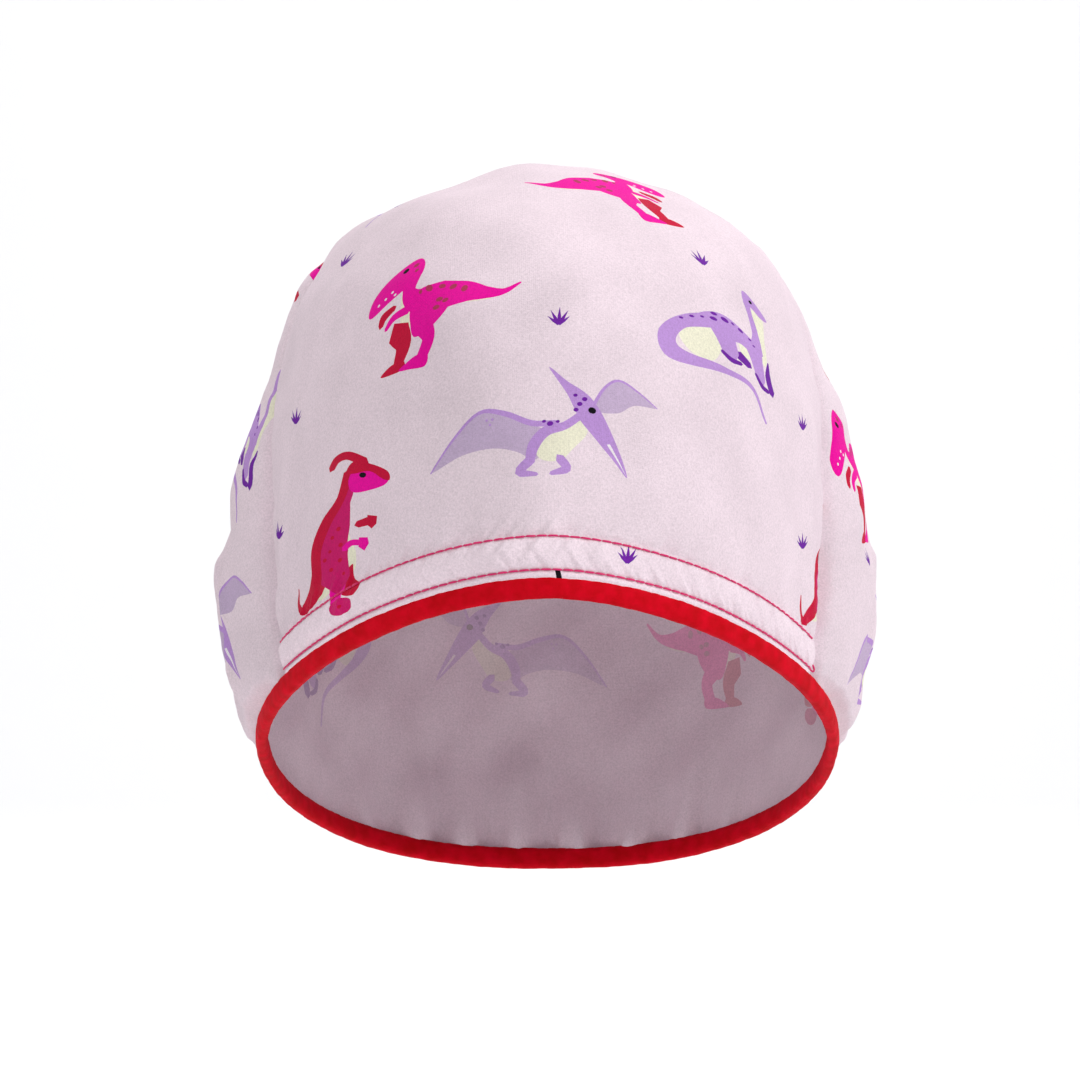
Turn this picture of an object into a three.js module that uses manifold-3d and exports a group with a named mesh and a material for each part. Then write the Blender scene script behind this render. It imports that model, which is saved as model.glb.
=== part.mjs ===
// A surgeon's scrub cap, sewn from two pieces of printed cotton: a front panel that runs from
// temple to temple and over the top of the head, and a fuller back panel gathered into the nape.
// A rolled red binding closes the whole edge of the head opening.
//
// Frame: millimetres, +Z up, the forehead towards -Y. The origin is the centre of the head
// opening, in the plane of the binding.
//
// The cloth is one wall round a hollow. Every point of its outer face is seen from a centre inside
// the hollow, so the wall is worked out as a distance from that centre in each direction.
import * as THREE from "three";
import { mergeVertices } from "three/addons/utils/BufferGeometryUtils.js";
import Module from "manifold-3d";

// ---- Driving dimensions ----

const CLOTH = 1.3; // thickness of the hemmed cotton wall
const PANEL_GAP = 0.3; // room left between two sewn pieces
const CENTRE = new THREE.Vector3(0, 5, 25); // the wall's distances are measured from here

// Distance of the cloth's outer face from the centre, by angle above the horizon: at the middle
// of the forehead, at the ears and at the middle of the back.
const PROFILE = [
  { elevation: -45, front: 92, side: 94, back: 113 },
  { elevation: -30, front: 94, side: 88, back: 108.5 },
  { elevation: -15, front: 97, side: 81, back: 108 },
  { elevation: 0, front: 100, side: 78, back: 109.6 },
  { elevation: 15, front: 106.5, side: 79.4, back: 112.8 },
  { elevation: 30, front: 116, side: 87.4, back: 117 },
  { elevation: 45, front: 125.8, side: 102.6, back: 123 },
  { elevation: 60, front: 129.3, side: 121, back: 128 },
  { elevation: 75, front: 129.2, side: 126.4, back: 130 },
  { elevation: 90, front: 130, side: 130, back: 130 },
];
const PROFILE_STEP = 15; // degrees between two rows of the table

// How square each half is seen from above: 2 is an ellipse, and less is more pointed. Both
// halves are round by the time they reach the crown.
const ROUNDNESS = { forehead: 1.82, nape: 2.25, crown: 2 };
const CROWN_BEGINS = 60; // degrees of elevation

// The head opening lies in a plane that drops from the forehead to the nape.
const HEM_DROP = 0.42; // millimetres down for each millimetre back
const BINDING = { height: 5.6, thickness: 3.4, corners: 10, squareness: 0.75 };
const PANEL_EDGE = BINDING.height / 2 + PANEL_GAP; // the cloth starts this far above that plane

// The seam between the panels, seen from the side, is a straight line from temple to crown.
const SEAM = { foot: { y: -36, z: 15 }, top: { y: 20, z: 155 } };

// Behind the seam the back panel swells out over the ears, and tucks in above the binding.
const SWELL = { size: 13.6, height: 46, below: 40, above: 66, reach: 13, tuck: 2.4 };

// Folds of the cloth: a line from one place to another, by compass angle from the forehead
// (positive over +X) and height, with its half width and how far it stands out or sinks in.
const FOLDS = [
  { name: "shoulder dent", from: [-88, 124], to: [-34, 130], width: 8, lift: -2.2 },
  { name: "left temple pull", from: [-88, 24], to: [-98, 66], width: 7, lift: -2.4 },
  { name: "left shoulder corner", from: [-96, 120], to: [-125, 124], width: 7, lift: 2.6 },
  { name: "left side hollow", from: [-100, 72], to: [-104, 96], width: 14, lift: -1.8 },
  { name: "left temple ridge", from: [-104, 22], to: [-112, 58], width: 7, lift: 1.6 },
  { name: "right temple pull", from: [92, 20], to: [104, 52], width: 7, lift: -2 },
];
const FOLD_RADIUS = 85; // turns a fold's compass angle into millimetres round the cap

// The gathers at the nape: soft ridges that rise from the binding and die out upwards.
const GATHERS = { count: 9, spacing: 15, lift: 2.6, rise: 34 };

// Columns round the cap and rows from the opening to the crown.
const COLUMNS = 84;
const ROWS = 19;

// ---- The cloth's outer face ----

const radians = THREE.MathUtils.degToRad;
const clamp = THREE.MathUtils.clamp;

// A smooth curve through one column of the profile table.
function profile(column, elevation) {
  const last = PROFILE.length - 1;
  const place = clamp((elevation - PROFILE[0].elevation) / PROFILE_STEP, 0, last);
  const row = Math.min(Math.floor(place), last - 1);
  const share = place - row;
  const value = (i) => PROFILE[i > last ? 2 * last - i : Math.max(i, 0)][column];
  const [before, start, end, after] = [-1, 0, 1, 2].map((k) => value(row + k));
  const leaving = (end - before) / 2;
  const arriving = (after - start) / 2;
  const bend = 3 * (end - start) - 2 * leaving - arriving;
  const twist = leaving + arriving - 2 * (end - start);
  return start + share * (leaving + share * (bend + share * twist));
}

function roundness(azimuth, elevation) {
  const hem = Math.abs(azimuth) > 90 ? ROUNDNESS.nape : ROUNDNESS.forehead;
  const up = THREE.MathUtils.smoothstep(elevation, 0, CROWN_BEGINS);
  return THREE.MathUtils.lerp(hem, ROUNDNESS.crown, up);
}

const seamY = (z) =>
  SEAM.foot.y + ((SEAM.top.y - SEAM.foot.y) * (z - SEAM.foot.z)) / (SEAM.top.z - SEAM.foot.z);

const aboveHem = (point) => (point.z + HEM_DROP * point.y) / Math.hypot(1, HEM_DROP);

function swell(point, azimuth) {
  const behind = point.y - seamY(point.z);
  const above = aboveHem(point);
  if (behind <= 0 || above <= 0) return 0;
  const spread = point.z < SWELL.height ? SWELL.below : SWELL.above;
  const level = Math.exp(-(((point.z - SWELL.height) / spread) ** 2));
  const clear = (1 - Math.exp(-behind / SWELL.reach)) * (1 - Math.exp(-above / SWELL.tuck));
  return SWELL.size * level * clear * Math.abs(Math.sin(radians(azimuth)));
}

// Compass angle from one direction to another, the short way round.
const turn = (from, to) => ((((to - from) % 360) + 540) % 360) - 180;

function foldLift(fold, azimuth, z) {
  const across = radians(turn(fold.from[0], fold.to[0])) * FOLD_RADIUS;
  const up = fold.to[1] - fold.from[1];
  const x = radians(turn(fold.from[0], azimuth)) * FOLD_RADIUS;
  const y = z - fold.from[1];
  const along = clamp((x * across + y * up) / (across ** 2 + up ** 2), 0, 1);
  const away = Math.hypot(x - along * across, y - along * up);
  return fold.lift * Math.exp(-((away / fold.width) ** 2));
}

function gatherLift(azimuth, above) {
  const away = radians(turn(180, azimuth)) * FOLD_RADIUS;
  const reach = (GATHERS.count * GATHERS.spacing) / 2;
  if (Math.abs(away) > reach || above < 0) return 0;
  const wave = Math.cos((2 * Math.PI * away) / GATHERS.spacing);
  const edge = Math.cos((Math.PI / 2) * (away / reach)) ** 0.5;
  const rise = Math.exp(-above / GATHERS.rise) * (1 - Math.exp(-above / SWELL.tuck));
  return GATHERS.lift * wave * edge * rise;
}

// The point of the outer face in one direction from the centre. The front panel lies close to the
// head, and only the back panel has the fullness.
function outer(azimuth, elevation, full) {
  const phi = radians(azimuth);
  const across = Math.abs(Math.sin(phi));
  const along = Math.abs(Math.cos(phi));
  const power = roundness(azimuth, elevation);
  const ahead = profile(Math.abs(azimuth) > 90 ? "back" : "front", elevation);
  const side = profile("side", elevation);
  const plain = ((along / ahead) ** power + (across / side) ** power) ** (-1 / power);
  const level = Math.cos(radians(elevation));
  const direction = new THREE.Vector3(
    Math.sin(phi) * level,
    -Math.cos(phi) * level,
    Math.sin(radians(elevation)),
  );
  const bare = direction.clone().multiplyScalar(plain).add(CENTRE);
  let lift = full ? swell(bare, azimuth) + gatherLift(azimuth, aboveHem(bare)) : 0;
  for (const fold of FOLDS) lift += foldLift(fold, azimuth, bare.z) * level;
  return direction.multiplyScalar(plain + lift).add(CENTRE);
}

// The elevation at which the face stands a given height above the plane of the opening.
function elevationAt(azimuth, height, full) {
  let [low, high] = [-44, 60];
  while (high - low > 1e-6) {
    const middle = (low + high) / 2;
    if (aboveHem(outer(azimuth, middle, full)) < height) low = middle;
    else high = middle;
  }
  return (low + high) / 2;
}

// Three directions at one point of the face: round the cap, up the cap and out of the cloth.
function directions(azimuth, elevation, full) {
  const step = 0.5;
  const at = (turned, raised) => outer(azimuth + turned, elevation + raised, full);
  const round = at(step, 0).sub(at(-step, 0)).normalize();
  const up = at(0, step).sub(at(0, -step)).normalize();
  return { round, up, out: new THREE.Vector3().crossVectors(round, up).normalize() };
}

// ---- Solids ----

const wasm = await Module();
wasm.setup();

function toSolid(geometry) {
  const bare = geometry.clone();
  bare.deleteAttribute("normal");
  bare.deleteAttribute("uv");
  const merged = mergeVertices(bare, 1e-4);
  return new wasm.Manifold(
    new wasm.Mesh({
      numProp: 3,
      vertProperties: merged.attributes.position.array,
      triVerts: new Uint32Array(merged.index.array),
    }),
  );
}

function toGeometry(solid) {
  const { vertProperties, triVerts } = solid.getMesh();
  const geometry = new THREE.BufferGeometry();
  geometry.setAttribute("position", new THREE.BufferAttribute(vertProperties, 3));
  geometry.setIndex(new THREE.BufferAttribute(triVerts, 1));
  geometry.computeVertexNormals();
  return geometry;
}

function fromTriangles(points, triangles) {
  const geometry = new THREE.BufferGeometry().setFromPoints(points);
  geometry.setIndex(triangles.flat());
  geometry.computeVertexNormals();
  return geometry;
}

// A whole cloth wall before it is parted along the seam: an outer and an inner dome that share a
// rim round the opening.
function clothWall(full) {
  const points = [];
  const triangles = [];
  const azimuths = Array.from({ length: COLUMNS }, (_, j) => (360 * j) / COLUMNS - 180);
  const layers = [0, CLOTH].map((depth) => {
    const rows = [];
    for (let i = 0; i < ROWS; i++) {
      const row = azimuths.map((azimuth) => {
        const foot = elevationAt(azimuth, PANEL_EDGE, full);
        const elevation = foot + (90 - foot) * (i / ROWS);
        const { out } = directions(azimuth, elevation, full);
        points.push(outer(azimuth, elevation, full).addScaledVector(out, -depth));
        return points.length - 1;
      });
      rows.push(row);
    }
    points.push(outer(0, 90, full).add(new THREE.Vector3(0, 0, -depth)));
    return { rows, top: points.length - 1 };
  });
  const wall = (a, b, c, d) => triangles.push([a, b, c], [a, c, d]);
  for (let j = 0; j < COLUMNS; j++) {
    const next = (j + 1) % COLUMNS;
    const [face, back] = layers;
    for (let i = 0; i + 1 < ROWS; i++) {
      wall(face.rows[i][j], face.rows[i][next], face.rows[i + 1][next], face.rows[i + 1][j]);
      wall(back.rows[i][next], back.rows[i][j], back.rows[i + 1][j], back.rows[i + 1][next]);
    }
    triangles.push([face.rows[ROWS - 1][j], face.rows[ROWS - 1][next], face.top]);
    triangles.push([back.rows[ROWS - 1][next], back.rows[ROWS - 1][j], back.top]);
    wall(face.rows[0][next], face.rows[0][j], back.rows[0][j], back.rows[0][next]);
  }
  return toSolid(fromTriangles(points, triangles));
}

// A block on one side of the seam: side is -1 for the forehead's side and 1 for the nape's.
function seamBlock(side) {
  const reach = 200; // well past the cap on every side
  const edge = (side * PANEL_GAP) / 2;
  const outline = new THREE.Shape([
    new THREE.Vector2(seamY(-reach) + edge, -reach),
    new THREE.Vector2(seamY(-reach) + side * 2 * reach, -reach),
    new THREE.Vector2(seamY(reach) + side * 2 * reach, reach),
    new THREE.Vector2(seamY(reach) + edge, reach),
  ]);
  const block = new THREE.ExtrudeGeometry(outline, { depth: 2 * reach, bevelEnabled: false });
  block.translate(0, 0, -reach);
  // The outline's first axis becomes +Y, its second +Z, and the extrusion runs along +X.
  block.applyMatrix4(
    new THREE.Matrix4().makeBasis(
      new THREE.Vector3(0, 1, 0),
      new THREE.Vector3(0, 0, 1),
      new THREE.Vector3(1, 0, 0),
    ),
  );
  return toSolid(block);
}

// A rolled tape round the whole opening, with the wall of the cloth standing on its middle.
function bindingLoop() {
  const points = [];
  const triangles = [];
  const { corners, height, thickness, squareness } = BINDING;
  const soften = (value) => Math.sign(value) * Math.abs(value) ** squareness;
  for (let j = 0; j < COLUMNS; j++) {
    const azimuth = (360 * j) / COLUMNS - 180;
    const elevation = elevationAt(azimuth, 0, false);
    const { up, out } = directions(azimuth, elevation, false);
    const middle = outer(azimuth, elevation, false).addScaledVector(out, -CLOTH / 2);
    for (let k = 0; k < corners; k++) {
      const angle = (2 * Math.PI * k) / corners;
      const away = (soften(Math.cos(angle)) * thickness) / 2;
      const rise = (soften(Math.sin(angle)) * height) / 2;
      points.push(middle.clone().addScaledVector(out, away).addScaledVector(up, rise));
    }
  }
  for (let j = 0; j < COLUMNS; j++) {
    for (let k = 0; k < corners; k++) {
      const here = j * corners + k;
      const above = j * corners + ((k + 1) % corners);
      const next = ((j + 1) % COLUMNS) * corners + k;
      const nextAbove = ((j + 1) % COLUMNS) * corners + ((k + 1) % corners);
      triangles.push([here, next, nextAbove], [here, nextAbove, above]);
    }
  }
  return fromTriangles(points, triangles);
}

// ---- The pieces ----

const printedCotton = () =>
  new THREE.MeshStandardMaterial({ color: 0xeedfea, roughness: 0.9, metalness: 0 });
const redTape = new THREE.MeshStandardMaterial({ color: 0xc80a1e, roughness: 0.8, metalness: 0 });

function piece(name, geometry, material) {
  const mesh = new THREE.Mesh(geometry, material);
  mesh.name = name;
  return mesh;
}

const cap = new THREE.Group();
cap.add(
  piece("front_panel", toGeometry(clothWall(false).intersect(seamBlock(-1))), printedCotton()),
  piece("back_panel", toGeometry(clothWall(true).intersect(seamBlock(1))), printedCotton()),
  piece("edge_binding", bindingLoop(), redTape),
);

export default cap;
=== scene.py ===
import math

import bpy
import numpy as np
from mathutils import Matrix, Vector
from mathutils.geometry import delaunay_2d_cdt
from mathutils.kdtree import KDTree


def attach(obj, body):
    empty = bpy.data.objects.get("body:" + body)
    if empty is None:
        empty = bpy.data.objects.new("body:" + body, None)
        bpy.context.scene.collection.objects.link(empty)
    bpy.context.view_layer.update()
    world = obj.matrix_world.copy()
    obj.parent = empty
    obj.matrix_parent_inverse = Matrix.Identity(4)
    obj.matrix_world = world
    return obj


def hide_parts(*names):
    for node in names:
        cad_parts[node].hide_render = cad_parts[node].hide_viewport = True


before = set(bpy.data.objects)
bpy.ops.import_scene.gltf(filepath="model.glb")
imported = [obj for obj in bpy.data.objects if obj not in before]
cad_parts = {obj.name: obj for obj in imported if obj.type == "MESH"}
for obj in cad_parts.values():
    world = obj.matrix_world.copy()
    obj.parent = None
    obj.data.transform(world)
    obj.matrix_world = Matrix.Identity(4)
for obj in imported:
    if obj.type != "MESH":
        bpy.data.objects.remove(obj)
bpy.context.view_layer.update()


# ---- Front panel ----
# One layer of printed cotton that crosses the forehead from temple to temple and runs up over the
# top of the head. It is cut from thin plain-weave cloth, its lower edge folded under as a hem and
# its other edge sewn to the back panel. The head inside holds it out.

# The form that the cloth takes is a skin round a hollow, worked out as a distance from a middle
# point in each direction. Lengths are millimetres, as a cutter marks them, and MM makes metres.

MM = 0.001
CENTRE = np.array([0.0, 5.0, 25.0])

# Distance of the skin from the centre, by angle above the horizon, at the middle of the
# forehead, over the ears and at the middle of the back.
PROFILE_STEP = 15.0
PROFILE_LOWEST = -45.0
PROFILE = {
    "front": [92, 94, 97, 100, 106.5, 116, 125.8, 129.3, 129.2, 130],
    "side": [94, 88, 81, 78, 79.4, 87.4, 102.6, 121, 126.4, 130],
    "back": [113, 108.5, 108, 109.6, 112.8, 117, 123, 128, 130, 130],
}

# How square each half is from above, where 2 is an ellipse. Both are round at the crown.
FOREHEAD_ROUNDNESS = 1.82
NAPE_ROUNDNESS = 2.25
CROWN_BEGINS = 60.0

HEM_DROP = 0.42  # the opening's plane drops this far for each millimetre back
SEAM_FOOT = (-36.0, 15.0)  # y and z where the panels' seam meets the binding
SEAM_TOP = (20.0, 155.0)  # and where it crosses the crown

# The back panel's fullness over the ears.
SWELL = {"size": 13.6, "height": 46, "below": 40, "above": 66, "reach": 13, "tuck": 2.4}

# Large soft folds: from and to as (compass angle from the forehead, height), half width, lift.
FOLDS = [
    ((-88, 124), (-34, 130), 8, -2.2),
    ((-96, 120), (-125, 124), 7, 2.6),
    ((-100, 72), (-104, 96), 14, -1.8),
    ((-88, 24), (-98, 66), 7, -2.4),
    ((-104, 22), (-112, 58), 7, 1.6),
    ((92, 20), (104, 52), 7, -2.0),
]
FOLD_RADIUS = 85.0  # turns a compass angle into millimetres round the cap


def smoothstep(value, low, high):
    share = np.clip((value - low) / (high - low), 0, 1)
    return share * share * (3 - 2 * share)


def profile(column, elevation):
    """A smooth curve through one column of the profile."""
    table = np.array(PROFILE[column], float)
    table = np.concatenate([table[:1], table, table[-2:-1]])
    last = len(table) - 4
    place = np.clip((elevation - PROFILE_LOWEST) / PROFILE_STEP, 0, last + 1)
    row = np.minimum(place.astype(int), last)
    share = place - row
    before, start, end, after = (table[row + k] for k in range(4))
    leaving, arriving = (end - before) / 2, (after - start) / 2
    bend = 3 * (end - start) - 2 * leaving - arriving
    twist = leaving + arriving - 2 * (end - start)
    return start + share * (leaving + share * (bend + share * twist))


def above_hem(point):
    """Height of a point square to the plane of the head opening."""
    return (point[:, 2] + HEM_DROP * point[:, 1]) / math.hypot(1, HEM_DROP)


SEAM_LEAN = (SEAM_TOP[0] - SEAM_FOOT[0]) / (SEAM_TOP[1] - SEAM_FOOT[1])


def behind_seam(point):
    """How far a point lies behind the seam between the panels, square to it."""
    seam = SEAM_FOOT[0] + SEAM_LEAN * (point[:, 2] - SEAM_FOOT[1])
    return (point[:, 1] - seam) / math.hypot(1, SEAM_LEAN)


def turn(start, end):
    """Compass angle from one direction to another, the short way round."""
    return (end - start + 540) % 360 - 180


def swell(point, azimuth):
    behind = behind_seam(point) * math.hypot(1, SEAM_LEAN)
    above = above_hem(point)
    spread = np.where(point[:, 2] < SWELL["height"], SWELL["below"], SWELL["above"])
    level = np.exp(-(((point[:, 2] - SWELL["height"]) / spread) ** 2))
    clear = 1 - np.exp(-np.maximum(behind, 0) / SWELL["reach"])
    tucked = 1 - np.exp(-np.maximum(above, 0) / SWELL["tuck"])
    return SWELL["size"] * level * clear * tucked * np.abs(np.sin(np.radians(azimuth)))


def fold_lift(azimuth, height, start, end, width, lift):
    """How far a fold raises the skin: full on the fold's line, and dying away beside it."""
    across = math.radians(turn(start[0], end[0])) * FOLD_RADIUS
    up = end[1] - start[1]
    x = np.radians(turn(start[0], azimuth)) * FOLD_RADIUS
    y = height - start[1]
    along = np.clip((x * across + y * up) / (across**2 + up**2), 0, 1)
    return lift * np.exp(-(((x - along * across) ** 2 + (y - along * up) ** 2) / width**2))


def bearings(direction):
    """Compass angle from the forehead and angle above the horizon of each direction."""
    azimuth = np.degrees(np.arctan2(direction[:, 0], -direction[:, 1]))
    elevation = np.degrees(np.arcsin(np.clip(direction[:, 2], -1, 1)))
    return azimuth, elevation


def pointing(azimuth, elevation):
    phi, theta = np.radians(azimuth), np.radians(elevation)
    level = np.cos(theta)
    return np.stack([np.sin(phi) * level, -np.cos(phi) * level, np.sin(theta)], 1)


def skin_distance(direction, full):
    """Distance of the plain skin from the centre. full adds the back panel's fullness."""
    azimuth, elevation = bearings(direction)
    phi = np.radians(azimuth)
    rear = np.abs(azimuth) > 90
    up = smoothstep(elevation, 0, CROWN_BEGINS)
    hem = np.where(rear, NAPE_ROUNDNESS, FOREHEAD_ROUNDNESS)
    power = hem + (2 - hem) * up
    ahead = np.where(rear, profile("back", elevation), profile("front", elevation))
    side = profile("side", elevation)
    level = (np.abs(np.cos(phi)) / ahead) ** power + (np.abs(np.sin(phi)) / side) ** power
    plain = level ** (-1 / power)
    bare = CENTRE + direction * plain[:, None]
    lift = swell(bare, azimuth) if full else 0
    for fold in FOLDS:
        lift = lift + fold_lift(azimuth, bare[:, 2], *fold) * np.cos(np.radians(elevation))
    return plain + lift


def ripple(along, seed, waves=((1.0, 1.0), (1.71, 0.6), (2.63, 0.45), (4.1, 0.25))):
    """An uneven wave along a line, never repeating by eye, between about -1 and 1."""
    total = sum(size for _, size in waves)
    return sum(
        size * np.sin(rate * along + seed * (2.4 + 1.3 * k))
        for k, (rate, size) in enumerate(waves)
    ) / total


def unit(ways):
    """The same ways, each made one long."""
    return ways / np.linalg.norm(ways, axis=1, keepdims=True)


# The cotton is pale pink, screen printed with small dinosaurs and tufts of grass. The print is
# laid into the cloth's own surface, so that each colour has a crisp edge.

INKS = {
    "cloth": (0.825, 0.690, 0.755),
    "magenta": (0.850, 0.001, 0.340),
    "berry": (0.600, 0.010, 0.140),
    "crimson": (0.570, 0.005, 0.042),
    "russet": (0.430, 0.040, 0.100),
    "lilac": (0.500, 0.290, 0.660),
    "pale_lilac": (0.560, 0.430, 0.610),
    "violet": (0.160, 0.018, 0.340),
    "cream": (0.840, 0.815, 0.640),
    "white": (0.860, 0.800, 0.840),
    "black": (0.006, 0.005, 0.008),
}


OUTLINE_STEPS = 5  # points of an outline from each charted point to the next


def smoothly(before, start, end, after):
    """A smooth curve from start to end, given the points on either side of them."""
    t = (np.arange(OUTLINE_STEPS) / OUTLINE_STEPS)[None, :, None]
    a, b, c, d = before[:, None], start[:, None], end[:, None], after[:, None]
    turning = (2 * a - 5 * b + 4 * c - d) + t * (3 * b - 3 * c + d - a)
    return (b + 0.5 * t * ((c - a) + t * turning)).reshape(-1, 2)


def blob(*points):
    """A closed smooth outline through a few points."""
    p = np.array(points, float)
    return smoothly(np.roll(p, 1, 0), p, np.roll(p, -1, 0), np.roll(p, -2, 0))


def limb(line, widths):
    """A tapering stroke along a smooth line, such as a neck, a tail or a leg."""
    p = np.array(line, float)
    p = np.vstack([2 * p[0] - p[1], p, 2 * p[-1] - p[-2]])
    path = np.vstack([smoothly(p[:-3], p[1:-2], p[2:-1], p[3:]), p[-2:-1]])
    width = np.interp(np.linspace(0, 1, len(path)), np.linspace(0, 1, len(widths)), widths)
    along = unit(np.gradient(path, axis=0))
    side = np.stack([-along[:, 1], along[:, 0]], 1) * width[:, None] / 2
    cap = path[-1:] + along[-1:] * width[-1] / 2
    start = path[:1] - along[:1] * width[0] / 2
    return np.vstack([start, path + side, cap, (path - side)[::-1]])


def spot(x, y, size, squash=0.75, lean=0.0, corners=9):
    """A small leaning oval, for an eye or a spot on a back."""
    angle = np.arange(corners) * 2 * math.pi / corners
    u, v = size / 2 * np.cos(angle), size / 2 * squash * np.sin(angle)
    c, s = math.cos(math.radians(lean)), math.sin(math.radians(lean))
    return np.stack([x + u * c - v * s, y + u * s + v * c], 1)


def corners(*points):
    """A straight-sided outline, for claws, blades of grass and teeth."""
    return np.array(points, float)


# Each motif is a list of (ink, outline), drawn in millimetres about its middle, the lowest first.
def hunter():
    """A two-legged meat eater that strides to the left."""
    shapes = [
        ("cream", blob((-9.8, 5.4), (-9.6, 0.8), (-8.0, -4.0), (-3.0, -4.2), (-4.0, 2.0),
                       (-7.0, 5.4))),
        ("cream", blob((3.5, 0.6), (8.0, 0.0), (13.5, 1.8), (8.0, 2.6))),
        ("crimson", limb([(-11.4, 1.0), (-14.0, -0.6), (-14.6, -2.4)], [1.4, 2.2, 1.6])),
        ("crimson", limb([(-8.8, -5.2), (-6.6, -8.6), (-7.2, -12.6)], [6.0, 4.4, 3.0])),
        ("crimson", blob((-5.7, -12.4), (-5.8, -14.4), (-12.2, -14.7), (-9.4, -12.6))),
        ("magenta", limb([(-8.0, 9.0), (-8.2, 4.4), (-5.2, 1.8), (1.0, 2.4), (6.6, 3.2), (11.6, 3.2),
                          (15.8, 4.4), (19.0, 8.0)], [3.6, 3.4, 6.4, 8.6, 6.8, 3.8, 1.6, 0.5])),
        ("magenta", blob((-8.6, 14.4), (-6.4, 12.4), (-6.3, 8.4), (-9.2, 5.4), (-13.4, 2.6),
                         (-17.6, 0.4),
                         (-19.2, 1.2), (-18.8, 4.6), (-16.4, 8.2), (-12.8, 11.8))),
        ("magenta", limb([(-7.4, -0.2), (-11.0, -1.4), (-12.8, -3.6)], [2.2, 1.7, 1.1])),
        ("magenta", blob((-6.4, 0.4), (-5.6, -4.4), (-3.6, -7.6), (0.4, -6.0), (3.2, -2.0),
                         (3.8, 2.0), (-1.0, 3.4))),
        ("magenta", limb([(-1.6, -5.4), (0.3, -8.6), (-0.8, -12.8)], [4.6, 3.2, 2.8])),
        ("magenta", blob((0.8, -12.0), (0.4, -14.4), (-4.0, -14.6), (-6.8, -14.4), (-4.8, -13.0),
                         (-2.0, -11.8))),
        ("black", spot(-11.0, 10.8, 1.8, 0.8, 60)),
    ]
    for x, y, size in [(-5.0, 3.8, 1.2), (-3.0, 4.6, 2.2), (0.2, 5.0, 1.8), (3.0, 4.8, 2.0),
                       (6.0, 4.2, 2.2),
                       (0.6, 1.2, 1.8), (2.2, 0.8, 1.6), (0.4, -1.0, 1.8), (-8.6, 12.0, 1.6),
                       (-7.9, 10.2, 1.2)]:
        shapes.append(("russet", spot(x, y, size, 0.75, 15 * x)))
    for x, y in [(-16.4, 2.9), (-14.6, 3.9), (-13.0, 5.2), (-12.0, 4.3)]:
        shapes.append(("white", spot(x, y, 0.8, 0.8, 40, 6)))
    return shapes


def browser():
    """A long-necked plant eater that faces right, its tail curled round behind it."""
    shapes = [
        ("cream", blob((-10.6, 3.6), (-7.0, 5.6), (-2.0, 5.6), (0.0, 1.6), (-2.0, -2.2),
                       (-4.6, -4.0), (-8.8, -1.6))),
        ("cream", blob((11.2, 11.4), (14.4, 9.8), (13.4, 4.0), (12.4, -2.0), (10.8, -2.4),
                       (10.8, 4.0))),
        ("cream", blob((4.0, 1.0), (7.0, 0.4), (7.0, -2.4), (4.6, -2.4))),
        ("violet", limb([(3.2, -2.2), (5.6, -4.4)], [2.4, 1.8])),
        ("violet", limb([(12.9, -1.8), (12.0, -5.4), (12.8, -8.8)], [0.5, 2.2, 2.0])),
        ("lilac", limb([(-2.0, 6.2), (-8.6, 6.9), (-13.2, 4.4), (-13.5, 0.2), (-9.0, -3.4),
                        (-1.2, -6.3),
                        (6.0, -9.8), (9.5, -16.2)], [4.6, 3.8, 4.6, 4.0, 2.5, 1.4, 1.0, 0.6])),
        ("lilac", blob((-5.0, 8.2), (-0.5, 8.8), (4.8, 6.4), (9.2, 2.8), (11.0, -0.4), (9.6, -3.0),
                       (5.0, 0.8),
                       (1.0, 1.0), (-2.4, 3.8))),
        ("lilac", limb([(9.4, 0.0), (10.8, 5.0), (10.8, 10.0), (10.5, 13.6)], [4.2, 1.9, 1.4, 1.8])),
        ("lilac", blob((9.8, 13.4), (10.2, 16.4), (11.8, 15.6), (14.0, 12.8), (15.8, 9.4),
                       (14.0, 9.8), (12.0, 12.0))),
        ("lilac", limb([(0.2, 4.2), (1.0, -2.6)], [6.0, 4.2])),
        ("lilac", limb([(8.4, 0.2), (9.0, -7.0)], [4.4, 3.2])),
        ("violet", limb([(-1.5, -1.8), (0.7, -3.7), (3.2, -4.4)], [0.8, 1.2, 1.0])),
        ("violet", limb([(7.3, -6.0), (9.1, -8.1), (11.4, -8.8)], [0.8, 1.2, 1.0])),
        ("black", spot(12.0, 13.7, 1.1, 0.8, -50)),
    ]
    for x, y, size in [(-8.8, 8.0, 1.2), (-6.2, 8.0, 1.3), (-3.8, 7.5, 1.1), (-0.6, 8.2, 1.8),
                       (-1.2, 6.7, 2.0),
                       (1.8, 6.6, 2.3), (4.0, 6.0, 1.1), (6.0, 4.8, 1.7), (8.3, 3.0, 1.1),
                       (9.0, 1.4, 0.9)]:
        shapes.append(("violet", spot(x, y, size, 0.55, -32)))
    return shapes


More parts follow.
